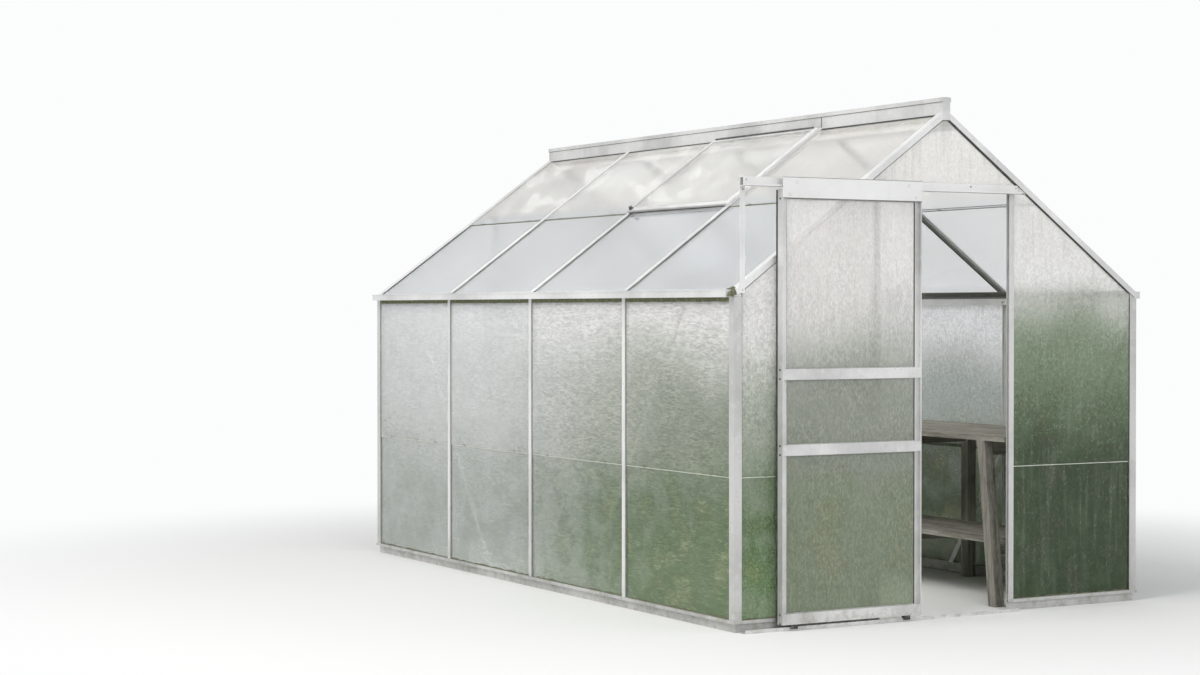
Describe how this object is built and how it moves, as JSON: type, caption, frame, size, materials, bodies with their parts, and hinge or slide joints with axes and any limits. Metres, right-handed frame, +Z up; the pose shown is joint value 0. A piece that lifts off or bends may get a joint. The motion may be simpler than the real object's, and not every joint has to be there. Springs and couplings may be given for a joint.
{
  "type": "aluminium glasshouse with sliding door",
  "caption": "Free-standing aluminium greenhouse with lapped glass walls, a pitched glass roof, a roof vent and a top-hung door that slides across its front gable.",
  "frame": {"origin": "on the ground, at the middle of the outline of the house and its door", "axes": "+X to the right across the front gable, +Y from the front gable to the rear one, +Z up"},
  "size_m": [2.004, 3.2826, 2.0028],
  "materials": {
    "frame_aluminium": "weathered mill finish",
    "wall_glass": "rolled horticultural glass with a fine hammered texture",
    "roof_glass": "dusty clear glass",
    "bench_wood": "bare weathered softwood",
    "roller_plastic": "moulded",
    "axle_steel": "zinc plated"
  },
  "bodies": {
    "house": {"bench_legs": "bench_wood", "bench_rails": "bench_wood", "bench_shelf": "bench_wood", "bench_top": "bench_wood", "corner_posts": "frame_aluminium", "door_guide": "frame_aluminium", "door_posts": "frame_aluminium", "door_track": "frame_aluminium", "front_gable_glass": "wall_glass", "front_header": "frame_aluminium", "front_rafters": "frame_aluminium", "front_sills": "frame_aluminium", "gable_braces": "frame_aluminium", "left_gutter": "frame_aluminium", "left_roof_bars": "frame_aluminium", "left_roof_glass": "roof_glass", "left_wall_bars": "frame_aluminium", "left_wall_glass": "wall_glass", "rear_gable_glass": "wall_glass", "rear_header": "frame_aluminium", "rear_posts": "frame_aluminium", "rear_rafters": "frame_aluminium", "rear_sill": "frame_aluminium", "ridge": "frame_aluminium", "right_gutter": "frame_aluminium", "right_roof_bars": "frame_aluminium", "right_roof_glass": "roof_glass", "right_wall_bars": "frame_aluminium", "right_wall_glass": "wall_glass", "side_sills": "frame_aluminium", "track_strut": "frame_aluminium", "vent_frame": "frame_aluminium", "vent_glass": "roof_glass", "vent_sill": "frame_aluminium", "wall_braces": "frame_aluminium"},
    "door": {"door_stiles": "frame_aluminium", "door_rails": "frame_aluminium", "door_hanger": "frame_aluminium", "door_glass": "wall_glass", "door_rollers": "roller_plastic", "roller_axles": "axle_steel", "door_shoes": "roller_plastic"}
  },
  "joints": [
    {"name": "door_slide", "type": "slide", "parent": "house", "child": "door", "axis": [1, 0, 0], "range_m": [-0.14, 0.4775]}
  ]
}
